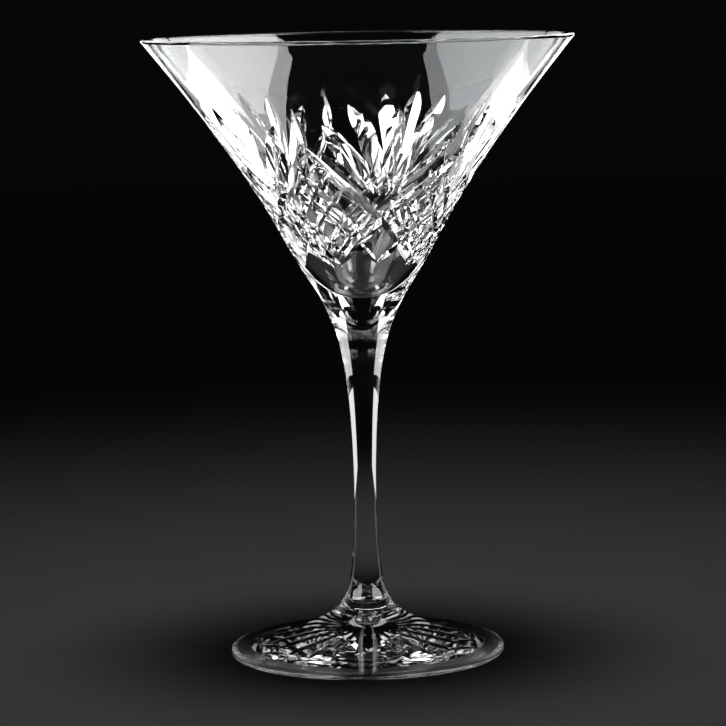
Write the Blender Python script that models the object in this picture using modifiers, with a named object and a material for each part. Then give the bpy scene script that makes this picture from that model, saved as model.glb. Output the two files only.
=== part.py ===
"""A stemmed martini glass in clear cut crystal: blown bowl, drawn stem and pressed foot.

Units are metres, +Z is up, and the origin is the centre of the foot's standing plane.
Each piece is a turned solid. The three are fused at two flat joints, drawn here with a small gap.
"""
import math

import bmesh
import bpy
from mathutils import Vector

MM = 0.001

# Driving dimensions
HEIGHT = 178.0 * MM
RIM_RADIUS = 61.5 * MM
LIP_THICKNESS = 1.3 * MM
FOOT_RADIUS = 39.6 * MM
FOOT_EDGE_HEIGHT = 2.4 * MM
STANDING_RING_OUTER = 37.4 * MM
STANDING_RING_INNER = 33.4 * MM
FOOT_HOLLOW_DEPTH = 1.2 * MM
STEM_WAIST_RADIUS = 3.25 * MM
BOWL_JOINT_HEIGHT = 101.0 * MM
BOWL_JOINT_RADIUS = 10.8 * MM
FOOT_JOINT_HEIGHT = 16.2 * MM
FOOT_JOINT_RADIUS = 6.6 * MM
CAVITY_BOTTOM = 106.0 * MM
JOINT_GAP = 0.3 * MM

WIDE_STEPS = 64
STEM_STEPS = 32
LIP_ARC_STEPS = 6
EDGE_ARC_STEPS = 6
MERGE_DISTANCE = 0.00001
SHARP_ANGLE = math.radians(40)

# Outlines as (radius, height) in millimetres, between the ends that the dimensions above set.
BOWL_OUTER_MM = [(48.3, 160.3), (34.2, 140.6), (27.3, 129.6), (20.9, 118.2), (16.9, 111.4), (13.3, 105.6)]
BOWL_INNER_MM = [(3.6, 106.9), (6.3, 109.0), (8.8, 112.0), (16.2, 120.6), (23.6, 130.0), (31.2, 140.6),
                 (46.3, 160.3)]
STEM_UPPER_MM = [(9.0, 97.0), (7.4, 92.4), (6.0, 86.6), (4.9, 79.6), (4.05, 70.6), (3.5, 60.5)]
STEM_LOWER_MM = [(3.3, 42.0), (3.65, 33.5), (4.1, 27.2), (4.75, 22.0), (5.6, 18.4)]
FOOT_TOP_MM = [(8.2, 13.8), (10.8, 11.5), (15.0, 9.2), (21.4, 6.9), (29.0, 4.8)]


def clear_scene():
    """Remove every object that the file starts with."""
    for obj in list(bpy.data.objects):
        bpy.data.objects.remove(obj, do_unlink=True)


def in_metres(points_mm):
    """Turn (radius, height) pairs in millimetres into vectors in metres."""
    return [Vector((radius * MM, height * MM)) for radius, height in points_mm]


def smooth_run(points, steps):
    """Points along a Catmull-Rom curve through the given points, both ends included."""
    ends = [2 * points[0] - points[1]] + points + [2 * points[-1] - points[-2]]
    run = [points[0]]
    for before, start, end, after in zip(ends, ends[1:], ends[2:], ends[3:]):
        for step in range(1, steps + 1):
            t = step / steps
            slope_start = (end - before) / 2
            slope_end = (after - start) / 2
            run.append((2 * t ** 3 - 3 * t ** 2 + 1) * start + (t ** 3 - 2 * t ** 2 + t) * slope_start
                       + (3 * t ** 2 - 2 * t ** 3) * end + (t ** 3 - t ** 2) * slope_end)
    return run


def arc(centre, radius, start, end, steps):
    """Points on a circular arc in the (radius, height) plane, between two angles in degrees."""
    angles = [math.radians(start + (end - start) * step / steps) for step in range(steps + 1)]
    return [Vector((centre[0] + radius * math.cos(a), centre[1] + radius * math.sin(a))) for a in angles]


def glass_material(name, colour, roughness):
    """A clear lead-crystal material."""
    material = bpy.data.materials.new(name)
    material.use_nodes = True
    shader = material.node_tree.nodes["Principled BSDF"]
    shader.inputs["Base Color"].default_value = (*colour, 1.0)
    shader.inputs["Roughness"].default_value = roughness
    shader.inputs["Metallic"].default_value = 0.0
    shader.inputs["IOR"].default_value = 1.545
    shader.inputs["Transmission Weight"].default_value = 1.0
    return material


def turned(name, outline, steps, material, collection):
    """Spin a (radius, height) outline about Z; it runs down the piece's outer side."""
    mesh = bpy.data.meshes.new(name)
    form = bmesh.new()
    verts = [form.verts.new((point.x, 0.0, point.y)) for point in outline]
    for upper, lower in zip(verts, verts[1:]):
        form.edges.new((upper, lower))
    form.to_mesh(mesh)
    form.free()
    obj = bpy.data.objects.new(name, mesh)
    collection.objects.link(obj)
    obj.data.materials.append(material)
    screw = obj.modifiers.new("spin", "SCREW")
    screw.axis = "Z"
    screw.angle = math.tau
    screw.steps = steps
    screw.render_steps = steps
    screw.use_merge_vertices = True
    screw.merge_threshold = MERGE_DISTANCE
    screw.use_smooth_shade = True
    return obj


def bowl_outline():
    """From the cavity's bottom up its wall, over the lip, and down the outside to the joint."""
    lip_radius = LIP_THICKNESS / 2
    lip_centre = Vector((RIM_RADIUS - lip_radius, HEIGHT - lip_radius))
    lip = arc(lip_centre, lip_radius, 143, -37, LIP_ARC_STEPS)
    inner = smooth_run([Vector((0.0, CAVITY_BOTTOM))] + in_metres(BOWL_INNER_MM) + [lip[0]], 2)
    joint = Vector((BOWL_JOINT_RADIUS, BOWL_JOINT_HEIGHT + JOINT_GAP / 2))
    outer = smooth_run([lip[-1]] + in_metres(BOWL_OUTER_MM) + [joint], 2)
    return inner[:-1] + lip + outer[1:] + [Vector((0.0, joint.y))]


def stem_outline():
    """From the middle of the upper joint out to its edge, down the waist, and in again."""
    top = Vector((BOWL_JOINT_RADIUS, BOWL_JOINT_HEIGHT - JOINT_GAP / 2))
    waist = Vector((STEM_WAIST_RADIUS, 50.0 * MM))
    bottom = Vector((FOOT_JOINT_RADIUS, FOOT_JOINT_HEIGHT + JOINT_GAP / 2))
    side = smooth_run([top] + in_metres(STEM_UPPER_MM) + [waist] + in_metres(STEM_LOWER_MM) + [bottom], 2)
    return [Vector((0.0, top.y))] + side + [Vector((0.0, bottom.y))]


def foot_outline():
    """From the lower joint over the crown to the edge, and under it across the hollow."""
    top = Vector((FOOT_JOINT_RADIUS, FOOT_JOINT_HEIGHT - JOINT_GAP / 2))
    edge_radius = FOOT_EDGE_HEIGHT / 2
    edge_centre = Vector((FOOT_RADIUS - edge_radius, edge_radius))
    edge = arc(edge_centre, edge_radius, 76, -80, EDGE_ARC_STEPS)
    crown = smooth_run([top] + in_metres(FOOT_TOP_MM) + [edge[0]], 2)
    ring = [Vector((STANDING_RING_OUTER, 0.0)), Vector((STANDING_RING_INNER, 0.0))]
    hollow_steps = 4
    hollow = []
    for step in range(1, hollow_steps + 1):
        share = 1 - step / hollow_steps
        hollow.append(Vector((STANDING_RING_INNER * share, FOOT_HOLLOW_DEPTH * (1 - share ** 2))))
    return [Vector((0.0, top.y))] + crown + edge[1:-1] + ring + hollow


def build():
    """Model the three fused pieces."""
    clear_scene()
    collection = bpy.data.collections.new("martini_glass")
    bpy.context.scene.collection.children.link(collection)
    turned("bowl", bowl_outline(), WIDE_STEPS, glass_material("bowl_crystal", (0.97, 0.98, 0.98), 0.02),
           collection)
    turned("stem", stem_outline(), STEM_STEPS, glass_material("stem_crystal", (0.96, 0.97, 0.98), 0.02),
           collection)
    turned("foot", foot_outline(), WIDE_STEPS, glass_material("foot_crystal", (0.95, 0.97, 0.97), 0.03),
           collection)


build()
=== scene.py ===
"""A martini glass in wheel-cut lead crystal, dressed for display.

The blown bowl, the drawn stem and the pressed foot are each one closed piece of clear glass. They meet
at two fused joints, where the glass runs on without a surface. Deep wheel cuts cover the bowl's lower
wall, and a star is cut under the foot. The glass stands on a pale floor between soft studio panels.

Lengths are in metres unless a name or a note says millimetres. Azimuths are in degrees round the glass,
from its front at -Y towards +X.
"""

import logging
import math
from collections.abc import Sequence
from dataclasses import dataclass
from enum import Enum

import bmesh
import bpy
import numpy as np
from mathutils import Matrix, Vector


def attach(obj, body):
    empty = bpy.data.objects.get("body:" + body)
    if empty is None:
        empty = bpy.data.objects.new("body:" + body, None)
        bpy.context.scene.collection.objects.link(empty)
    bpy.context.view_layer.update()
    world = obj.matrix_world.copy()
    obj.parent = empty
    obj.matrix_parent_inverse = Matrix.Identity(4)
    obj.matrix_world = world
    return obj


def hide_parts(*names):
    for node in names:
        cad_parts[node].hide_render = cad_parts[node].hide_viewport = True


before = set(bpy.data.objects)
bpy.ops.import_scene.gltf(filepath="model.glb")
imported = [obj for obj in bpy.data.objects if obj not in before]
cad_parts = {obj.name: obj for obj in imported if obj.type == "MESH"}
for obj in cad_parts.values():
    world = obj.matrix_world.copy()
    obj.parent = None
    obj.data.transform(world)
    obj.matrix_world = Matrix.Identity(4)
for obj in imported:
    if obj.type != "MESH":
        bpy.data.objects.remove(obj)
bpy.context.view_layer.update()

LOG = logging.getLogger("martini_glass")
MM = 0.001
ON_AXIS = 1e-9
Point = tuple[float, float, float]
Colour = tuple[float, float, float]

BOWL = "bowl_cut_crystal"
STEM = "stem_drawn_crystal"
FOOT = "foot_star_cut_crystal"

# The same driving sizes as the solid model.
HEIGHT = 178.0 * MM
RIM_RADIUS = 61.5 * MM
LIP_THICKNESS = 1.3 * MM
FOOT_RADIUS = 39.6 * MM
FOOT_EDGE_HEIGHT = 2.4 * MM
STANDING_RING_OUTER = 37.4 * MM
STANDING_RING_INNER = 33.4 * MM
FOOT_HOLLOW_DEPTH = 1.2 * MM
CAVITY_BOTTOM = 106.0 * MM

# How far each side of a fused joint stands in from it, and the angles in degrees that the lip's and the
# foot edge's arcs run between.
SEAM = 0.02 * MM
LIP_FROM_TO = (143.0, -37.0)
EDGE_FROM_TO = (76.0, -80.0)

# Outlines as (radius, height) in millimetres, between the ends that the sizes above set.
BOWL_OUTER_MM = [(48.3, 160.3), (34.2, 140.6), (27.3, 129.6), (20.9, 118.2), (16.9, 111.4), (13.3, 105.6)]
BOWL_INNER_MM = [(3.6, 106.9), (6.3, 109.0), (8.8, 112.0), (16.2, 120.6), (23.6, 130.0), (31.2, 140.6),
                 (46.3, 160.3)]
BOWL_JOINT_MM = (10.8, 101.0)
STEM_MM = [(9.0, 97.0), (7.4, 92.4), (6.0, 86.6), (4.9, 79.6), (4.05, 70.6), (3.5, 60.5), (3.25, 50.0),
           (3.3, 42.0), (3.65, 33.5), (4.1, 27.2), (4.75, 22.0), (5.6, 18.4)]
FOOT_JOINT_MM = (6.6, 16.2)
FOOT_TOP_MM = [(8.2, 13.8), (10.8, 11.5), (15.0, 9.2), (21.4, 6.9), (29.0, 4.8)]

# The band's repeats round the bowl, the azimuth of its front fan, and half a repeat in degrees.
PATTERN_REPEATS = 5
FRONT_FAN_AZIMUTH = 13.5
HALF_PATTERN = 180 / PATTERN_REPEATS

# The glass's refractive index, the watts that a square metre of area light takes for radiance 1, and
# how far back the light panels dim.
LEAD_CRYSTAL_INDEX = 1.545
WATTS_PER_RADIANCE = 4.0
FADE_FROM_TO = (0.12, 0.62)


class Skin(Enum):
    """The surfaces that a glass piece can show, in the order of its material slots."""

    FIRE_POLISH = 0
    WHEEL_CUT = 1
    FUSED = 2
    GROUND_RING = 3
    UNDERSIDE = 4


class LookUp(Enum):
    """Which coordinate of an outline a place on it is given by."""

    RADIUS = 0
    HEIGHT = 1


# -------------------- outlines


def in_metres(points_mm: Sequence[tuple[float, float]]) -> np.ndarray:
    """Turn (radius, height) pairs in millimetres into an array in metres, a row for each pair."""
    return np.array(points_mm, dtype=float) * MM


def smooth_run(points: np.ndarray, steps: int) -> np.ndarray:
    """Lay a natural cubic spline through points, so that the curvature never jumps.

    Args:
        points: Control points, one a row.
        steps: Samples for each span.

    Returns:
        The samples, both ends included.
    """
    gaps = np.linalg.norm(np.diff(points, axis=0), axis=1)[:, None]
    slopes = np.diff(points, axis=0) / gaps
    system, turns = np.eye(len(points)), np.zeros_like(points)
    for i in range(1, len(points) - 1):
        before, after = gaps[i - 1, 0], gaps[i, 0]
        system[i, i - 1:i + 2] = before, 2 * (before + after), after
        turns[i] = 6 * (slopes[i] - slopes[i - 1])
    bend = np.linalg.solve(system, turns)
    share = np.linspace(0, 1, steps + 1)[1:, None]
    rows = [points[:1]]
    for i, gap in enumerate(gaps[:, 0]):
        straight = points[i] * (1 - share) + points[i + 1] * share
        early, late = (1 - share)**3 - (1 - share), share**3 - share
        rows.append(straight + gap**2 / 6 * (early * bend[i] + late * bend[i + 1]))
    return np.vstack(rows)


def arc(centre: tuple[float, float], radius: float, start: float, end: float, steps: int) -> np.ndarray:
    """Sample a circular arc in the (radius, height) plane.

    Args:
        centre: The arc's centre.
        radius: Its radius.
        start: Its first angle in degrees.
        end: Its last angle in degrees.
        steps: How many steps it takes.

    Returns:
        The samples, both ends included.
    """
    angles = np.radians(np.linspace(start, end, steps + 1))
    return np.column_stack([centre[0] + radius * np.cos(angles), centre[1] + radius * np.sin(angles)])


@dataclass
class Stretch:
    """A stretch of a turned piece's profile, with the glass on the right of its direction.

    Attributes:
        points: Samples as (radius, height), in order.
        skin: The surface that the stretch shows.
        curved: Whether it is shaded from its own curve, or flat.
        look_up: The coordinate that places on it are given by.
    """

    points: np.ndarray
    skin: Skin
    curved: bool = True
    look_up: LookUp = LookUp.HEIGHT

    def __post_init__(self) -> None:
        """Work out the normals, out of the glass, and the order that places are looked up in."""
        along = np.gradient(self.points, axis=0)
        away = np.column_stack([-along[:, 1], along[:, 0]])
        self.normals = away / np.linalg.norm(away, axis=1)[:, None]
        self.order = np.argsort(self.points[:, self.look_up.value])

    def lay(self, azimuths: np.ndarray, places: np.ndarray) -> tuple[np.ndarray, np.ndarray]:
        """Find points of the turned surface.

        Args:
            azimuths: Their azimuths in radians.
            places: Their heights or radii, as look_up says.

        Returns:
            The points and the surface's normals there, one a row.
        """
        known = self.points[self.order, self.look_up.value]
        columns = [np.interp(places, known, table[self.order, i])
                   for table in (self.points, self.normals) for i in (0, 1)]
        radius, height, out, up = columns
        size = np.hypot(out, up)
        across, back = np.sin(azimuths), -np.cos(azimuths)
        points = np.column_stack([radius * across, radius * back, height])
        normals = np.column_stack([out * across, out * back, up]) / size[:, None]
        return points, normals

    def onto(self, points: np.ndarray) -> tuple[np.ndarray, np.ndarray]:
        """Bring points near the turned surface onto it, keeping their azimuths.

        Args:
            points: The points, one a row.

        Returns:
            The points on the surface and its normals there.
        """
        azimuths = np.arctan2(points[:, 0], -points[:, 1])
        radius = np.hypot(points[:, 0], points[:, 1])
        return self.lay(azimuths, radius if self.look_up is LookUp.RADIUS else points[:, 2])


@dataclass
class OutsideLine:
    """One curve down the outside of the whole glass, so that it stays smooth across the fused joints.

    Attributes:
        steps: Samples for each span between control points.
        arc_steps: Samples round the lip and the foot's edge.
    """

    steps: int = 10
    arc_steps: int = 20

    def __post_init__(self) -> None:
        """Lay the curve and share it out among the bowl, the stem and the foot."""
        half_lip, half_edge = LIP_THICKNESS / 2, FOOT_EDGE_HEIGHT / 2
        self.lip = arc((RIM_RADIUS - half_lip, HEIGHT - half_lip), half_lip, *LIP_FROM_TO, self.arc_steps)
        self.edge = arc((FOOT_RADIUS - half_edge, half_edge), half_edge, *EDGE_FROM_TO, self.arc_steps)
        controls = np.vstack([self.lip[-1:], in_metres(BOWL_OUTER_MM + [BOWL_JOINT_MM] + STEM_MM
                                                       + [FOOT_JOINT_MM] + FOOT_TOP_MM), self.edge[:1]])
        run = smooth_run(controls, self.steps)
        upper = (len(BOWL_OUTER_MM) + 1) * self.steps
        lower = upper + (len(STEM_MM) + 1) * self.steps
        self.bowl, self.stem, self.foot = run[:upper + 1], run[upper:lower + 1], run[lower:]


def in_scene(name: str, data: bpy.types.ID) -> bpy.types.Object:
    """Put an object in the scene.

    Args:
        name: Its name.
        data: Its mesh, light or camera.

    Returns:
        The object.
    """
    obj = bpy.data.objects.new(name, data)
    bpy.context.scene.collection.objects.link(obj)
    return obj


def turned(name: str, stretches: Sequence[Stretch], around: int) -> bpy.types.Object:
    """Spin a closed profile about Z into one solid.

    Args:
        name: The piece's name.
        stretches: The profile's stretches in order, from the axis back to the axis.
        around: Segments round the axis.

    Returns:
        The piece's object, with its faces marked by skin.
    """
    profile = np.vstack([stretches[0].points] + [each.points[1:] for each in stretches[1:]])
    skins = [each.skin.value for each in stretches for _ in each.points[1:]]
    turns = np.arange(around) * math.tau / around
    rings = profile[1:-1]
    verts = [(0.0, 0.0, profile[0, 1])]
    for radius, height in rings:
        verts += [(radius * math.cos(turn), radius * math.sin(turn), height) for turn in turns]
    verts.append((0.0, 0.0, profile[-1, 1]))
    last = 1 + (len(rings) - 1) * around
    faces = []
    for j in range(around):
        k = (j + 1) % around
        faces.append((0, 1 + j, 1 + k))
        for here in range(1, last, around):
            there = here + around
            faces.append((here + j, there + j, there + k, here + k))
        faces.append((last + j, len(verts) - 1, last + k))
    mesh = bpy.data.meshes.new(name)
    mesh.from_pydata(verts, [], faces)
    for _ in Skin:
        mesh.materials.append(None)
    mesh.polygons.foreach_set("material_index", skins * around)
    mesh.update()
    return in_scene(name, mesh)


# -------------------- wheel cuts


@dataclass(frozen=True)
class Groove:
    """A V-shaped cut that a mitre wheel leaves along a turned wall.

    Attributes:
        course: Where it runs, tip to tip, as (azimuth, place) pairs; the place is a height or a radius
            in millimetres.
        depth: Its depth at the deepest.
        flank: The angle of each flank from the cut's middle plane, in degrees.
        wheel: The wheel's radius, which sets how fast the ends run out.
        shallow_start: The depth at the first tip as a share of the depth, for a cut that deepens.
    """

    course: tuple[tuple[float, float], ...]
    depth: float
    flank: float
    wheel: float
    shallow_start: float = 1.0

    def mirrored(self) -> "Groove":
        """Return the same cut on the other side of azimuth 0."""
        return self.moved(0.0, -1.0)

    def moved(self, turn: float, hand: float = 1.0) -> "Groove":
        """Return the same cut elsewhere round the wall.

        Args:
            turn: Degrees to turn it by, after mirroring.
            hand: -1 to mirror it first.

        Returns:
            The moved cut.
        """
        course = tuple((hand * azimuth + turn, place) for azimuth, place in self.course)
        return Groove(course, self.depth, self.flank, self.wheel, self.shallow_start)


@dataclass(frozen=True)
class CutterShop:
    """Makes the solids that are taken out of a piece for its wheel cuts.

    Attributes:
        wall: The stretch of the outline that is cut.
        copies: How many times each cut repeats round the glass.
        clearance: How far a cutter stands out of the glass.
        steps: Sections along a cutter.
        rise: How much of the clearance a cutter's tips rise through.
    """

    wall: Stretch
    copies: int
    clearance: float = 0.5 * MM
    steps: int = 60
    rise: float = 0.98

    def line(self, groove: Groove) -> tuple[np.ndarray, float]:
        """Lay a cut's course on the wall.

        Args:
            groove: The cut.

        Returns:
            Points along it, evenly spaced and one a row, and its length.
        """
        azimuths = np.radians([azimuth for azimuth, _ in groove.course])
        places = np.array([place for _, place in groove.course]) * MM
        run = self.wall.onto(smooth_run(self.wall.lay(azimuths, places)[0], self.steps))[0]
        travelled = np.concatenate([[0.0], np.cumsum(np.linalg.norm(np.diff(run, axis=0), axis=1))])
        even = np.linspace(0, travelled[-1], self.steps * 2 + 1)
        return np.column_stack([np.interp(even, travelled, run[:, i]) for i in range(3)]), travelled[-1]

    def sections(self, groove: Groove) -> np.ndarray:
        """Work out a cutter's triangular sections.

        Args:
            groove: The cut.

        Returns:
            An array of sections, each with its root and its two upper corners.
        """
        run, length = self.line(groove)
        wheel = min(groove.wheel, (length / 2) ** 2 / (2 * groove.depth))
        ramp = math.sqrt(2 * wheel * groove.depth)
        beyond = math.sqrt(2 * wheel * (groove.depth + self.clearance * self.rise)) - ramp
        travel = np.concatenate([[-beyond], np.linspace(0, length, self.steps + 1), [length + beyond]])
        known = np.linspace(0, length, len(run))
        points = np.column_stack([np.interp(travel, known, run[:, i]) for i in range(3)])
        points[0] += (run[0] - run[1]) / np.linalg.norm(run[0] - run[1]) * beyond
        points[-1] += (run[-1] - run[-2]) / np.linalg.norm(run[-1] - run[-2]) * beyond
        normals = self.wall.onto(points)[1]
        tangents = np.gradient(points, axis=0)
        tangents /= np.linalg.norm(tangents, axis=1)[:, None]
        normals -= tangents * np.sum(normals * tangents, axis=1)[:, None]
        normals /= np.linalg.norm(normals, axis=1)[:, None]
        sides = np.cross(tangents, normals)
        into_end = np.maximum(0, np.maximum(ramp - travel, travel - (length - ramp)))
        deepening = groove.shallow_start + (1 - groove.shallow_start) * np.clip(travel / length, 0, 1)
        depth = groove.depth * deepening - into_end**2 / (2 * wheel)
        depth = np.maximum(depth, -self.rise * self.clearance)
        half = (depth + self.clearance) * math.tan(math.radians(groove.flank))
        root = points - normals * depth[:, None]
        top = points + normals * self.clearance
        return np.stack([root, top - sides * half[:, None], top + sides * half[:, None]], axis=1)

    def cutter(self, name: str, groove: Groove) -> bpy.types.Object:
        """Build one closed solid for all the copies of a cut.

        Args:
            name: The cutter's name.
            groove: The cut.

        Returns:
            The cutter's object.
        """
        rings = self.sections(groove)
        count = len(rings)
        form = bmesh.new()
        for copy in range(self.copies):
            turn = np.array(Matrix.Rotation(math.tau * copy / self.copies, 3, "Z"))
            verts = [form.verts.new(point) for point in (rings.reshape(-1, 3) @ turn.T)]
            for i in range(count - 1):
                here, there = verts[3 * i:3 * i + 3], verts[3 * i + 3:3 * i + 6]
                for a in range(3):
                    b = (a + 1) % 3
                    form.faces.new((here[a], here[b], there[b], there[a]))
            form.faces.new(verts[:3])
            form.faces.new(verts[-3:])
        bmesh.ops.recalc_face_normals(form, faces=form.faces)
        mesh = bpy.data.meshes.new(name)
        form.to_mesh(mesh)
        form.free()
        for _ in Skin:
            mesh.materials.append(None)
        mesh.polygons.foreach_set("material_index", [Skin.WHEEL_CUT.value] * len(mesh.polygons))
        return in_scene(name, mesh)

    def cut(self, piece: bpy.types.Object, grooves: Sequence[Groove]) -> None:
        """Take cuts out of a piece.

        Args:
            piece: The piece, whose mesh is replaced.
            grooves: The cuts.
        """
        cutters = [self.cutter(f"{piece.name}_wheel_{i}", groove) for i, groove in enumerate(grooves)]
        for cutter in cutters:
            taking = piece.modifiers.new(cutter.name, "BOOLEAN")
            taking.operation = "DIFFERENCE"
            taking.solver = "MANIFOLD"
            taking.object = cutter
        graph = bpy.context.evaluated_depsgraph_get()
        cut_mesh = bpy.data.meshes.new_from_object(piece.evaluated_get(graph), depsgraph=graph)
        piece.modifiers.clear()
        whole, piece.data = piece.data, cut_mesh
        bpy.data.meshes.remove(whole)
        for cutter in cutters:
            mesh = cutter.data
            bpy.data.objects.remove(cutter)
            bpy.data.meshes.remove(mesh)


def shade_turned(piece: bpy.types.Object, stretches: Sequence[Stretch], crease: float = 14.0) -> None:
    """Shade the turned skins from their own curve, and the cuts from their flanks.

    Args:
        piece: The piece.
        stretches: Its profile's stretches.
        crease: The angle in degrees from which an edge of a cut is sharp.
    """
    mesh = piece.data
    form = bmesh.new()
    form.from_mesh(mesh)
    limit = math.radians(crease)
    for face in form.faces:
        face.smooth = True
    for edge in form.edges:
        if len(edge.link_faces) == 2:
            one, other = (face.material_index for face in edge.link_faces)
            edge.smooth = one == other and edge.calc_face_angle(0.0) < limit
    form.to_mesh(mesh)
    form.free()
    places = np.empty(len(mesh.vertices) * 3)
    mesh.vertices.foreach_get("co", places)
    places = places.reshape(-1, 3)
    corner_verts = np.empty(len(mesh.loops), dtype=np.int64)
    mesh.loops.foreach_get("vertex_index", corner_verts)
    marks = np.empty(len(mesh.polygons), dtype=np.int64)
    mesh.polygons.foreach_get("material_index", marks)
    sizes = np.empty(len(mesh.polygons), dtype=np.int64)
    mesh.polygons.foreach_get("loop_total", sizes)
    corner_marks = np.repeat(marks, sizes)
    normals = np.zeros((len(mesh.loops), 3))
    for stretch in stretches:
        corners = np.flatnonzero(corner_marks == stretch.skin.value)
        if not stretch.curved or not len(corners):
            continue
        at = places[corner_verts[corners]]
        radius = np.hypot(at[:, 0], at[:, 1])
        away = at[:, :2] / np.maximum(radius, ON_AXIS)[:, None]
        section = nearest_normals(stretch, np.column_stack([radius, at[:, 2]]))
        normals[corners] = np.column_stack([section[:, :1] * away, section[:, 1]])
    mesh.normals_split_custom_set(normals.tolist())


def nearest_normals(stretch: Stretch, at: np.ndarray, batch: int = 20000) -> np.ndarray:
    """Find a profile's normals beside points.

    Args:
        stretch: The profile.
        at: The points as (radius, height), one a row.
        batch: How many points are worked out at a time.

    Returns:
        The normal on the profile nearest to each point.
    """
    start, end = stretch.points[:-1], stretch.points[1:]
    way = end - start
    found = np.empty_like(at)
    for first in range(0, len(at), batch):
        some = at[first:first + batch]
        offset = some[:, None, :] - start[None]
        share = np.clip((offset * way).sum(2) / (way**2).sum(1), 0, 1)
        distance = np.linalg.norm(offset - share[..., None] * way, axis=2)
        best = distance.argmin(axis=1)
        part = share[np.arange(len(some)), best][:, None]
        normal = stretch.normals[best] * (1 - part) + stretch.normals[best + 1] * part
        found[first:first + batch] = normal / np.linalg.norm(normal, axis=1)[:, None]
    return found


# -------------------- finishes


class Signal:
    """A number that varies over a surface, with arithmetic that adds Math nodes."""

    def __init__(self, tree: "ShaderTree", socket: bpy.types.NodeSocket) -> None:
        """Wrap an output socket of a tree."""
        self.tree = tree
        self.socket = socket

    def _with(self, operation: str, first: "Signal | float", second: "Signal | float") -> "Signal":
        """Return the outcome of a Math node on two values."""
        return self.tree.signal("ShaderNodeMath", {"operation": operation}, {0: first, 1: second})

    def __add__(self, other: "Signal | float") -> "Signal":
        """Return self + other."""
        return self._with("ADD", self, other)

    __radd__ = __add__

    def __mul__(self, other: "Signal | float") -> "Signal":
        """Return self * other."""
        return self._with("MULTIPLY", self, other)

    __rmul__ = __mul__

    def eased(self, low: float, high: float) -> "Signal":
        """Return 0 below low and 1 above high, with a smooth step between."""
        return self.tree.signal("ShaderNodeMapRange", {"interpolation_type": "SMOOTHSTEP"},
                                {"Value": self, "From Min": low, "From Max": high})


class ShaderTree:
    """A material's node tree, built node by node."""

    def __init__(self, name: str) -> None:
        """Start an empty material.

        Args:
            name: Its name.
        """
        self.material = bpy.data.materials.new(name)
        self.material.use_nodes = True
        self.nodes = self.material.node_tree.nodes
        self.links = self.material.node_tree.links
        self.nodes.clear()

    def node(self, kind: str, settings: dict[str, object] | None = None,
             inputs: dict[str | int, object] | None = None) -> bpy.types.Node:
        """Add a node.

        Args:
            kind: Its type.
            settings: Its properties, set first.
            inputs: A value or a link for each input socket, by identifier, name or index.

        Returns:
            The node.
        """
        node = self.nodes.new(kind)
        for name, value in (settings or {}).items():
            setattr(node, name, value)
        for key, value in (inputs or {}).items():
            by_identifier = {socket.identifier: socket for socket in node.inputs}
            socket = by_identifier.get(key) or node.inputs[key]
            value = value.socket if isinstance(value, Signal) else value
            if isinstance(value, bpy.types.NodeSocket):
                self.links.new(value, socket)
            else:
                socket.default_value = value
        return node

    def signal(self, kind: str, settings: dict[str, object] | None = None,
               inputs: dict[str | int, object] | None = None, output: str | int = 0) -> Signal:
        """Add a node and return one of its outputs as a signal."""
        return Signal(self, self.node(kind, settings, inputs).outputs[output])

    def place(self, stretch: tuple[float, float, float] = (1.0, 1.0, 1.0)) -> bpy.types.NodeSocket:
        """Return the place on the piece in metres, scaled along each axis."""
        here = self.node("ShaderNodeTexCoord").outputs["Object"]
        return self.node("ShaderNodeVectorMath", {"operation": "MULTIPLY"}, {0: here, 1: stretch}).outputs[0]

    def depth(self) -> Signal:
        """Return how far back the place is, in metres."""
        return self.signal("ShaderNodeSeparateXYZ", None, {"Vector": self.place()}, "Y")

    def noise(self, per_metre: float, detail: float = 2.0, rough: float = 0.5,
              stretch: tuple[float, float, float] = (1.0, 1.0, 1.0)) -> Signal:
        """Return soft noise from 0 to 1.

        Args:
            per_metre: How many blotches fit in a metre.
            detail: How many finer layers it has.
            rough: How strong the finer layers are.
            stretch: How the pattern is squeezed along each axis.

        Returns:
            The noise.
        """
        return self.signal("ShaderNodeTexNoise", None, {"Vector": self.place(stretch), "Scale": per_metre,
                                                        "Detail": detail, "Roughness": rough})

    def tint(self, share: Signal, plain: Sequence[float], other: Sequence[float]) -> bpy.types.NodeSocket:
        """Blend two colours.

        Args:
            share: How much of the other colour there is, from 0 to 1.
            plain: The colour at 0.
            other: The colour at 1.

        Returns:
            The blend.
        """
        mix = self.node("ShaderNodeMix", {"data_type": "RGBA"},
                        {"Factor_Float": share, "A_Color": (*plain, 1.0), "B_Color": (*other, 1.0)})
        return next(socket for socket in mix.outputs if socket.identifier == "Result_Color")

    def relief(self, height: Signal, distance: float) -> bpy.types.NodeSocket:
        """Return a normal that follows a height from 0 to 1 over a distance."""
        return self.node("ShaderNodeBump", None, {"Height": height, "Distance": distance,
                                                  "Strength": 1.0}).outputs["Normal"]

    def finish(self, shader: bpy.types.Node) -> bpy.types.Material:
        """Send a shader to the surface and return the material."""
        self.node("ShaderNodeOutputMaterial", None, {"Surface": shader.outputs[0]})
        return self.material


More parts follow.
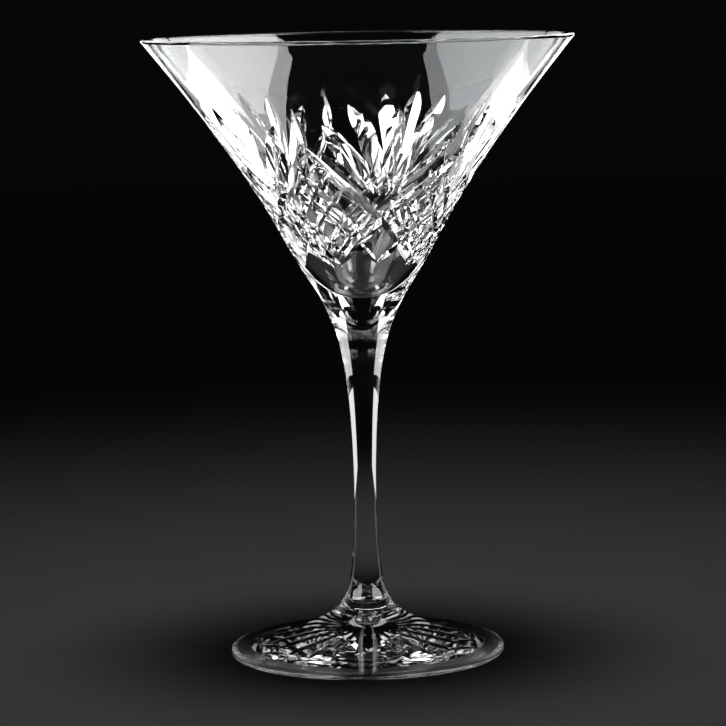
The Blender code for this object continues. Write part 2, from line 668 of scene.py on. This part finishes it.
@dataclass(frozen=True)
class Crystal:
    """Clear lead crystal with a surface of its own.

    Attributes:
        name: The material's name.
        clear: The glass's own colour.
        smoky: Its colour where it is very slightly denser.
        polish: The lowest and highest roughness.
        cloud: Blotches of polish in a metre.
        ripple: Ripples of the surface in a metre.
        ripple_height: How high they are.
        grain: How the ripples are squeezed along each axis.
    """

    name: str
    clear: Colour = (0.985, 0.99, 0.99)
    smoky: Colour = (0.965, 0.975, 0.98)
    polish: tuple[float, float] = (0.0, 0.02)
    cloud: float = 60.0
    ripple: float = 45.0
    ripple_height: float = 0.004 * MM
    grain: tuple[float, float, float] = (1.0, 1.0, 1.0)

    def make(self) -> bpy.types.Material:
        """Build the material.

        Returns:
            The material.
        """
        tree = ShaderTree(self.name)
        blotches = tree.noise(self.cloud, detail=4.0, rough=0.6).eased(0.35, 0.75)
        waves = tree.noise(self.ripple, detail=1.0, rough=0.4, stretch=self.grain)
        low, high = self.polish
        return tree.finish(tree.node("ShaderNodeBsdfPrincipled", None, {
            "Base Color": tree.tint(blotches, self.clear, self.smoky),
            "Roughness": low + (high - low) * blotches, "IOR": LEAD_CRYSTAL_INDEX,
            "Transmission Weight": 1.0, "Normal": tree.relief(waves, self.ripple_height)}))


@dataclass(frozen=True)
class GroundGlass:
    """The standing ring, ground flat and then worn by tables.

    Attributes:
        name: The material's name.
        colour: The glass's colour between scratches.
        worn: Its colour in them.
        frost: The roughness of the ring between scratches, and in them.
        scratches: Scratches in a metre.
        depth: How deep they are.
    """

    name: str
    colour: Colour = (0.96, 0.97, 0.97)
    worn: Colour = (0.9, 0.91, 0.91)
    frost: tuple[float, float] = (0.12, 0.4)
    scratches: float = 1500.0
    depth: float = 0.01 * MM

    def make(self) -> bpy.types.Material:
        """Build the material.

        Returns:
            The material.
        """
        tree = ShaderTree(self.name)
        ways = (((1.0, 0.06, 1.0), (0.5, 0.62)), ((0.08, 1.0, 1.0), (0.52, 0.66)))
        along, across = (tree.noise(self.scratches, detail=3.0, rough=0.7, stretch=squeeze).eased(*cover)
                         for squeeze, cover in ways)
        wear = along + across
        low, high = self.frost
        return tree.finish(tree.node("ShaderNodeBsdfPrincipled", None, {
            "Base Color": tree.tint(wear, self.colour, self.worn),
            "Roughness": low + (high - low) * wear, "IOR": LEAD_CRYSTAL_INDEX,
            "Transmission Weight": 1.0, "Normal": tree.relief(wear, self.depth)}))


@dataclass(frozen=True)
class FusedJoint:
    """The plane where two pieces of glass have become one: light passes it unbent."""

    name: str = "fused_joint"

    def make(self) -> bpy.types.Material:
        """Build the material."""
        tree = ShaderTree(self.name)
        return tree.finish(tree.node("ShaderNodeBsdfTransparent"))


@dataclass(frozen=True)
class PaleFloor:
    """A matt pale board with a hardly visible mottle.

    Attributes:
        name: The material's name.
        light: Its colour.
        dark: Its colour in the mottle.
        mottles: Patches of mottle in a metre.
        fibres: Fibres in a metre.
        fibre_height: How high they stand.
        matt: The lowest and highest roughness.
        sheen: How much it mirrors.
    """

    name: str = "pale_board"
    light: Colour = (0.80, 0.80, 0.79)
    dark: Colour = (0.76, 0.76, 0.75)
    mottles: float = 25.0
    fibres: float = 900.0
    fibre_height: float = 0.02 * MM
    matt: tuple[float, float] = (0.75, 0.85)
    sheen: float = 0.2

    def make(self) -> bpy.types.Material:
        """Build the material.

        Returns:
            The material.
        """
        tree = ShaderTree(self.name)
        mottle = tree.noise(self.mottles, detail=5.0, rough=0.6).eased(0.3, 0.7)
        fibre = tree.noise(self.fibres)
        low, high = self.matt
        return tree.finish(tree.node("ShaderNodeBsdfPrincipled", None, {
            "Base Color": tree.tint(mottle, self.light, self.dark),
            "Roughness": low + (high - low) * fibre, "Specular IOR Level": self.sheen,
            "Normal": tree.relief(fibre, self.fibre_height)}))


# -------------------- pieces


@dataclass
class GlassPiece:
    """One closed piece of the glass.

    Attributes:
        name: The piece's name.
        node: The solid that it stands for.
        slot: The finish slot that it would take; not used.
        outside: The curve down the outside of the whole glass.
        around: Segments round the axis.
    """

    name: str
    node: str
    slot: str
    outside: OutsideLine
    around: int = 256

    def stretches(self) -> list[Stretch]:
        """Return the piece's profile, from the axis back to the axis."""
        raise NotImplementedError

    def cuts(self, piece: bpy.types.Object) -> None:
        """Take the piece's wheel cuts out of it; a plain piece has none."""

    def skins(self) -> dict[Skin, bpy.types.Material]:
        """Return the material of each skin that the piece shows."""
        raise NotImplementedError

    def build(self) -> bpy.types.Object:
        """Build the piece's mesh.

        Returns:
            The piece's object, without its materials.
        """
        profile = self.stretches()
        piece = turned(self.name, profile, self.around)
        self.cuts(piece)
        shade_turned(piece, profile)
        return piece

    def dress(self, piece: bpy.types.Object) -> None:
        """Give a built piece its materials, hang it under the root body and hide the solid that it stands
        for.

        Args:
            piece: The built piece.
        """
        skins = self.skins()
        mesh = piece.data
        shown = [0] * len(Skin)
        for face in mesh.polygons:
            shown[face.material_index] += 1
        for skin in Skin:
            mesh.materials[skin.value] = skins.get(skin, skins[Skin.FIRE_POLISH])
        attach(piece, "root")
        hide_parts(self.node)
        counts = ", ".join(f"{skin.name.lower()} {shown[skin.value]}" for skin in Skin if shown[skin.value])
        LOG.info("%s: %d faces (%s)", piece.name, len(mesh.polygons), counts)


def flat(points: Sequence[Sequence[float]], skin: Skin) -> Stretch:
    """Return a flat stretch of profile between two points."""
    return Stretch(np.array(points, dtype=float), skin, curved=False)


@dataclass
class Bowl(GlassPiece):
    """The blown bowl, with its band of fans, crossing lines and small diamonds.

    Attributes:
        leaf_depth: The depth of a fan's middle leaf.
        small_leaf: The depth of the leaf between two fans, as a share of that.
        line_depth: The depth of the long crossing lines.
        lattice_depth: The depth of the finer lines between them.
    """

    leaf_depth: float = 1.5 * MM
    small_leaf: float = 0.62
    line_depth: float = 1.15 * MM
    lattice_depth: float = 0.8 * MM

    def outer(self) -> Stretch:
        """Return the outside wall alone, which the cuts are laid on."""
        return Stretch(self.outside.bowl, Skin.FIRE_POLISH)

    def stretches(self) -> list[Stretch]:
        """Draw the profile.

        Returns:
            It: up the cavity, over the lip, down the outside, and across the joint.
        """
        lip = self.outside.lip
        start = np.array([[0.0, CAVITY_BOTTOM]])
        inner = smooth_run(np.vstack([start, in_metres(BOWL_INNER_MM), lip[:1]]), self.outside.steps)
        side = self.outside.bowl.copy()
        side[-1, 1] += SEAM
        wall = np.vstack([inner, lip[1:], side[1:]])
        return [Stretch(wall, Skin.FIRE_POLISH), flat([side[-1], (0.0, side[-1, 1])], Skin.FUSED)]

    def fan(self) -> list[Groove]:
        """Lay out a fan.

        Returns:
            The five leaves that spread from above a crossing, and the leaf between two fans, whose wheel
            is so large that the whole of it is run-out.
        """
        leaves = []
        for root, tip, share in (((0.0, 132.0), (0.0, 159.7), 1.0), ((1.4, 132.2), (12.4, 158.2), 0.96),
                                 ((3.4, 133.0), (26.7, 154.9), 0.9)):
            leaf = Groove((root, tip), self.leaf_depth * share, flank=66.0, wheel=34 * MM, shallow_start=0.5)
            leaves += [leaf.mirrored(), leaf] if tip[0] else [leaf]
        between = ((HALF_PATTERN, 145.6), (HALF_PATTERN, 159.6))
        leaves.append(Groove(between, self.leaf_depth * self.small_leaf, flank=60.0, wheel=1.0))
        return leaves

    def lines(self) -> list[Groove]:
        """Lay out the long lines.

        Returns:
            The two that cross under each fan.
        """
        course = ((-36.2, 149.0), (-24.0, 138.7), (-12.0, 133.0), (0.0, 128.0), (17.0, 120.3),
                  (34.5, 113.6))
        line = Groove(course, self.line_depth, flank=56.0, wheel=45 * MM)
        return [line, line.mirrored()]

    def lattice(self) -> list[Groove]:
        """Lay out the finer lines.

        Returns:
            Those that divide the field between two fans into diamonds.
        """
        courses = (((-9.0, 142.2), (0.0, 136.9), (8.0, 131.8), (15.0, 127.8), (26.0, 122.6)),
                   ((-16.0, 137.8), (-8.0, 133.4), (0.0, 129.1), (12.0, 123.7), (21.3, 120.2),
                    (38.0, 114.3)),
                   ((-23.5, 132.8), (-12.0, 126.6), (0.0, 121.0), (8.3, 117.9), (14.0, 116.0)),
                   ((-30.0, 130.2), (-15.0, 122.2), (0.0, 116.2), (6.5, 113.8)))
        made = []
        for course in courses:
            line = Groove(course, self.lattice_depth, flank=54.0, wheel=30 * MM)
            made += [line.moved(HALF_PATTERN), line.moved(HALF_PATTERN, -1.0)]
        return made

    def cuts(self, piece: bpy.types.Object) -> None:
        """Cut the band."""
        grooves = [groove.moved(FRONT_FAN_AZIMUTH) for groove in self.fan() + self.lines() + self.lattice()]
        CutterShop(self.outer(), PATTERN_REPEATS).cut(piece, grooves)

    def skins(self) -> dict[Skin, bpy.types.Material]:
        """Return the bowl's finishes."""
        return {Skin.FIRE_POLISH: Crystal("blown_crystal").make(),
                Skin.WHEEL_CUT: Crystal("cut_crystal", polish=(0.0, 0.035), cloud=240.0, ripple=420.0,
                                        ripple_height=0.003 * MM).make(),
                Skin.FUSED: FusedJoint().make()}


@dataclass
class Stem(GlassPiece):
    """The stem, drawn out of the bowl's base, solid all the way."""

    def stretches(self) -> list[Stretch]:
        """Draw the profile.

        Returns:
            It: out along the upper joint, down the side, and in along the lower joint.
        """
        side = self.outside.stem.copy()
        side[0, 1] -= SEAM
        side[-1, 1] += SEAM
        return [flat([(0.0, side[0, 1]), side[0]], Skin.FUSED), Stretch(side, Skin.FIRE_POLISH),
                flat([side[-1], (0.0, side[-1, 1])], Skin.FUSED)]

    def skins(self) -> dict[Skin, bpy.types.Material]:
        """Return the stem's finishes: striae run down the drawn glass."""
        return {Skin.FIRE_POLISH: Crystal("drawn_crystal", ripple=260.0, grain=(1.0, 1.0, 0.05),
                                          ripple_height=0.002 * MM).make(),
                Skin.FUSED: FusedJoint("fused_joint_stem").make()}


@dataclass
class Foot(GlassPiece):
    """The pressed foot: a low crown, a rounded edge, a ground standing ring, and a star cut beneath.

    Attributes:
        rays: How many leaves the star has.
        first_ray: The azimuth of one of them.
        groups: How many rounds of cutting the rays are taken in, so that neighbours are cut apart.
        ray_reach_mm: The radii that a leaf runs between.
        ray_depth: The depth of a leaf at its wide end.
        hollow_steps: Samples from the standing ring to the axis.
    """

    rays: int = 24
    first_ray: float = 9.4
    groups: int = 4
    ray_reach_mm: tuple[float, float] = (3.4, 29.0)
    ray_depth: float = 1.15 * MM
    hollow_steps: int = 25

    def underside(self) -> Stretch:
        """Return the shallow hollow inside the standing ring, looked up by radius."""
        share = np.linspace(1, 0, self.hollow_steps)
        return Stretch(np.column_stack([STANDING_RING_INNER * share, FOOT_HOLLOW_DEPTH * (1 - share**2)]),
                       Skin.UNDERSIDE, look_up=LookUp.RADIUS)

    def stretches(self) -> list[Stretch]:
        """Draw the profile.

        Returns:
            It: out along the joint, over the crown, round the edge, and back beneath.
        """
        top = self.outside.foot.copy()
        top[0, 1] -= SEAM
        crown = np.vstack([top, self.outside.edge[1:]])
        return [flat([(0.0, top[0, 1]), top[0]], Skin.FUSED), Stretch(crown, Skin.FIRE_POLISH),
                flat([crown[-1], (STANDING_RING_OUTER, 0.0), (STANDING_RING_INNER, 0.0)], Skin.GROUND_RING),
                self.underside()]

    def cuts(self, piece: bpy.types.Object) -> None:
        """Cut the star.

        Args:
            piece: The foot.
        """
        spacing = 360 / self.rays
        grooves = []
        for i in range(self.groups):
            course = tuple((self.first_ray + i * spacing, radius) for radius in self.ray_reach_mm)
            grooves.append(Groove(course, self.ray_depth, flank=58.0, wheel=28 * MM, shallow_start=0.35))
        CutterShop(self.underside(), self.rays // self.groups, clearance=0.25 * MM).cut(piece, grooves)

    def skins(self) -> dict[Skin, bpy.types.Material]:
        """Return the foot's finishes."""
        pressed = Crystal("pressed_crystal", clear=(0.98, 0.985, 0.985), polish=(0.0, 0.03), ripple=60.0,
                          ripple_height=0.006 * MM).make()
        return {Skin.FIRE_POLISH: pressed, Skin.UNDERSIDE: pressed,
                Skin.WHEEL_CUT: Crystal("star_crystal", polish=(0.0, 0.04), cloud=240.0, ripple=380.0,
                                        ripple_height=0.003 * MM).make(),
                Skin.GROUND_RING: GroundGlass("ground_crystal").make(),
                Skin.FUSED: FusedJoint("fused_joint_foot").make()}


# -------------------- studio


def flag_off(light: bpy.types.Object, pieces: Sequence[str]) -> None:
    """Hide a light from the camera and flag it off from everything but some pieces.

    Args:
        light: The light.
        pieces: The names of the pieces that it still reaches.
    """
    light.visible_camera = False
    light.visible_diffuse = False
    reached = bpy.data.collections.new(f"{light.name}_reaches")
    for piece in pieces:
        reached.objects.link(bpy.data.objects[piece])
    light.light_linking.receiver_collection = reached


@dataclass(frozen=True)
class Panel:
    """A soft light panel of any outline. The glass mirrors and bends it, but it doesn't light the floor.

    Attributes:
        name: Its name.
        corners: Its corners, in order round its edge.
        radiance: How bright its face is.
        pieces: The names of the pieces that it reaches.
        tint: Its colour.
        fade: How bright it is at the back, as a share of the front; FADE_FROM_TO says where it dims.
    """

    name: str
    corners: tuple[Point, ...]
    radiance: float
    pieces: tuple[str, ...]
    tint: Colour = (1.0, 1.0, 1.0)
    fade: float = 1.0

    def opposite(self, name: str, radiance: float, tint: Colour) -> "Panel":
        """Return a panel of the same shape on the other side of the glass."""
        corners = tuple((-x, y, z) for x, y, z in self.corners)
        return Panel(name, corners, radiance, self.pieces, tint, self.fade)

    def place(self) -> None:
        """Set the panel up."""
        mesh = bpy.data.meshes.new(self.name)
        mesh.from_pydata(self.corners, [], [tuple(range(len(self.corners)))])
        tree = ShaderTree(self.name)
        colour = (*self.tint, 1.0)
        if self.fade != 1.0:
            dim = tuple(self.fade * channel for channel in self.tint)
            colour = tree.tint(tree.depth().eased(*FADE_FROM_TO), self.tint, dim)
        mesh.materials.append(tree.finish(tree.node("ShaderNodeBsdfPrincipled", None, {
            "Base Color": (0.0, 0.0, 0.0, 1.0), "Specular IOR Level": 0.0,
            "Emission Color": colour, "Emission Strength": self.radiance})))
        panel = in_scene(self.name, mesh)
        panel.visible_shadow = False
        flag_off(panel, self.pieces)


@dataclass(frozen=True)
class Softbox:
    """A rectangular light beside the glass that is flagged off from all but some of the pieces.

    Attributes:
        name: Its name.
        centre: Where its middle is.
        size: Its width and height.
        facing: The way that it shines.
        radiance: How bright its face is.
        pieces: The names of the pieces that it reaches.
        tint: Its colour.
    """

    name: str
    centre: Point
    size: tuple[float, float]
    facing: Point
    radiance: float
    pieces: tuple[str, ...]
    tint: Colour = (1.0, 1.0, 1.0)

    def opposite(self, name: str, radiance: float, tint: Colour) -> "Softbox":
        """Return the same box on the other side of the glass."""
        (x, y, z), (across, back, up) = self.centre, self.facing
        return Softbox(name, (-x, y, z), self.size, (-across, back, up), radiance, self.pieces, tint)

    def place(self) -> None:
        """Set the box up."""
        data = bpy.data.lights.new(self.name, "AREA")
        data.shape = "RECTANGLE"
        data.size, data.size_y = self.size
        data.energy = WATTS_PER_RADIANCE * self.radiance * self.size[0] * self.size[1]
        data.color = self.tint
        box = in_scene(self.name, data)
        box.location = self.centre
        box.rotation_mode = "QUATERNION"
        box.rotation_quaternion = Vector(self.facing).to_track_quat("-Z", "Y")
        flag_off(box, self.pieces)


def upright(side: float, outline: Sequence[tuple[float, float]]) -> tuple[Point, ...]:
    """Return the corners of a panel that stands beside the glass, from (y, z) pairs."""
    return tuple((side, y, z) for y, z in outline)


@dataclass(frozen=True)
class Studio:
    """The floor, the panels and the dark room round them.

    Attributes:
        floor_radius: The floor's radius.
        floor_sides: How many sides its outline has.
        lamp_height: How high the floor's lamp hangs.
        lamp_size: The lamp's radius.
        lamp_cone: How wide it shines, in degrees.
        lamp_power: Its power.
        room: The room's colour.
        bounces: How many times light is followed through glass.
        mirrorings: How many times it is followed off glass.
        glint_limit: The brightest that a bounced sample may be.
        key: The right panel, whose leaning front edge sets where the bowl turns dark.
        rear: The panel that carries the key on behind the glass.
        low: The strip beside the stem.
        fill: The dim panel under the key, which the bowl doesn't catch.
        front: The box in front of the key, which only the bowl and the stem catch.
        band: The small low box that lights the cut band alone.
        edge: The low box behind, which shows in the edges of the bowl.
        side: The box that shows in the stem's flanks.
        above: The box overhead, which shows in the foot's rounded edge.
        cool: The tint of the left side's lights.
        left_key: How bright the left key and rear panels are, as a share of the right ones.
        left_band: How bright the left band box is, as a share of the right one.
    """

    floor_radius: float = 2.0
    floor_sides: int = 128
    lamp_height: float = 1.1
    lamp_size: float = 0.2
    lamp_cone: float = 46.0
    lamp_power: float = 2.4
    room: Colour = (0.002, 0.002, 0.0022)
    bounces: int = 32
    mirrorings: int = 16
    glint_limit: float = 20.0
    key: Panel = Panel("right_key", upright(0.30, ((-0.025, 0.89), (0.20, 0.68), (0.36, 0.59), (0.6, 0.53),
                                                   (0.6, 0.37), (0.36, 0.37), (0.2, 0.41), (0.09, 0.48))),
                       6.4, (BOWL,), fade=0.42)
    rear: Panel = Panel("right_rear", ((0.12, 0.6, 0.28), (0.30, 0.6, 0.30), (0.30, 0.6, 0.5),
                                       (0.12, 0.6, 0.42)), 6.4, (BOWL,), fade=0.42)
    low: Panel = Panel("right_low", upright(0.17, ((0.05, 0.01), (0.29, 0.01), (0.29, 0.08), (0.05, 0.08))),
                       0.9, (BOWL, STEM, FOOT))
    fill: Panel = Panel("right_fill", upright(0.30, ((0.1, 0.11), (0.57, 0.11), (0.57, 0.3), (0.1, 0.3))),
                        0.6, (STEM, FOOT))
    front: Softbox = Softbox("right_front", (0.30, -0.225, 0.325), (0.45, 0.45), (-1.0, 0.0, 0.0), 4.4,
                             (BOWL, STEM))
    band: Softbox = Softbox("right_band", (0.14, 0.12, 0.045), (0.14, 0.07), (-1.0, 0.0, 0.0), 2.0, (BOWL,),
                            (1.0, 0.95, 0.88))
    edge: Softbox = Softbox("right_edge", (0.19, 0.6, 0.115), (0.08, 0.17), (0.0, -1.0, 0.0), 2.2, (BOWL,))
    side: Softbox = Softbox("right_side", (0.28, 0.35, 0.46), (0.5, 0.32), (-1.0, 0.0, 0.0), 0.8, (STEM,))
    above: Softbox = Softbox("right_above", (0.15, 0.1, 0.85), (0.3, 0.6), (0.0, 0.0, -1.0), 3.6, (FOOT,))
    cool: Colour = (0.95, 0.98, 1.0)
    left_key: float = 0.61
    left_band: float = 1.5

    def panels(self) -> list[Panel | Softbox]:
        """Work out the lights of both sides.

        Returns:
            The right side's, then the left side's: the same shapes, cooler, and dimmer in the key.
        """
        right = [self.key, self.rear, self.low, self.fill, self.front, self.band, self.edge, self.side,
                 self.above]
        shares = {self.key: self.left_key, self.rear: self.left_key, self.band: self.left_band}
        left = []
        for light in right:
            name = light.name.replace("right", "left")
            left.append(light.opposite(name, light.radiance * shares.get(light, 1.0), self.cool))
        return right + left

    def floor(self) -> None:
        """Lay the floor."""
        form = bmesh.new()
        bmesh.ops.create_circle(form, cap_ends=True, cap_tris=False, segments=self.floor_sides,
                                radius=self.floor_radius)
        mesh = bpy.data.meshes.new("floor")
        form.to_mesh(mesh)
        form.free()
        mesh.materials.append(PaleFloor().make())
        floor = in_scene("floor", mesh)
        floor.visible_glossy = False

    def floor_lamp(self) -> None:
        """Hang the lamp that gives the floor its soft pool of light."""
        data = bpy.data.lights.new("floor_lamp", "SPOT")
        data.energy = self.lamp_power
        data.spot_size = math.radians(self.lamp_cone)
        data.spot_blend = 1.0
        data.shadow_soft_size = self.lamp_size
        lamp = in_scene("floor_lamp", data)
        lamp.location = (0.0, 0.0, self.lamp_height)
        lamp.visible_glossy = False
        lamp.visible_transmission = False

    def dark_room(self) -> None:
        """Put the studio in a nearly black room, seen with plain contrast."""
        world = bpy.data.worlds.new("dark_room")
        world.use_nodes = True
        world.node_tree.nodes["Background"].inputs["Color"].default_value = (*self.room, 1.0)
        bpy.context.scene.world = world
        bpy.context.scene.view_settings.view_transform = "Standard"

    def light_paths(self) -> None:
        """Follow light deep into the glass, but don't throw the panels' light through it on the floor."""
        cycles = bpy.context.scene.cycles
        cycles.caustics_reflective = False
        cycles.caustics_refractive = False
        cycles.max_bounces = self.bounces
        cycles.transmission_bounces = self.bounces
        cycles.transparent_max_bounces = self.bounces
        cycles.glossy_bounces = self.mirrorings
        cycles.sample_clamp_indirect = self.glint_limit

    def build(self) -> None:
        """Lay the floor, place the lights and darken the room."""
        self.floor()
        for panel in self.panels():
            panel.place()
        self.floor_lamp()
        self.dark_room()
        self.light_paths()


@dataclass(frozen=True)
class Viewpoint:
    """Where the glass is seen from: a little above the rim, with a long lens.

    Attributes:
        distance: How far in front of the glass it is.
        height: Its height.
        down: How far it looks down, in degrees.
        roll: How far it is rolled, in degrees.
        lens_mm: The focal length.
        frame_mm: The width of the frame behind it.
        near_far: The nearest and the farthest that it sees.
    """

    distance: float = 0.9055
    height: float = 0.198
    down: float = 7.156
    roll: float = -1.0
    lens_mm: float = 157.4
    frame_mm: float = 36.0
    near_far: tuple[float, float] = (0.01, 20.0)

    def place(self) -> None:
        """Set the camera up."""
        data = bpy.data.cameras.new("camera")
        data.lens = self.lens_mm
        data.sensor_width = self.frame_mm
        data.clip_start, data.clip_end = self.near_far
        camera = in_scene("camera", data)
        turn = Matrix.Rotation(math.radians(90 - self.down), 4, "X") \
            @ Matrix.Rotation(math.radians(self.roll), 4, "Z")
        camera.matrix_world = Matrix.Translation((0.0, -self.distance, self.height)) @ turn
        bpy.context.scene.camera = camera


def main() -> None:
    """Build the glass, the studio and the viewpoint."""
    logging.basicConfig(level=logging.INFO, format="%(message)s")
    outside = OutsideLine()
    for part in (Bowl(BOWL, "bowl", "bowl_crystal", outside), Stem(STEM, "stem", "stem_crystal", outside),
                 Foot(FOOT, "foot", "foot_crystal", outside)):
        part.dress(part.build())
    Studio().build()
    Viewpoint().place()


if __name__ == "__main__":
    main()
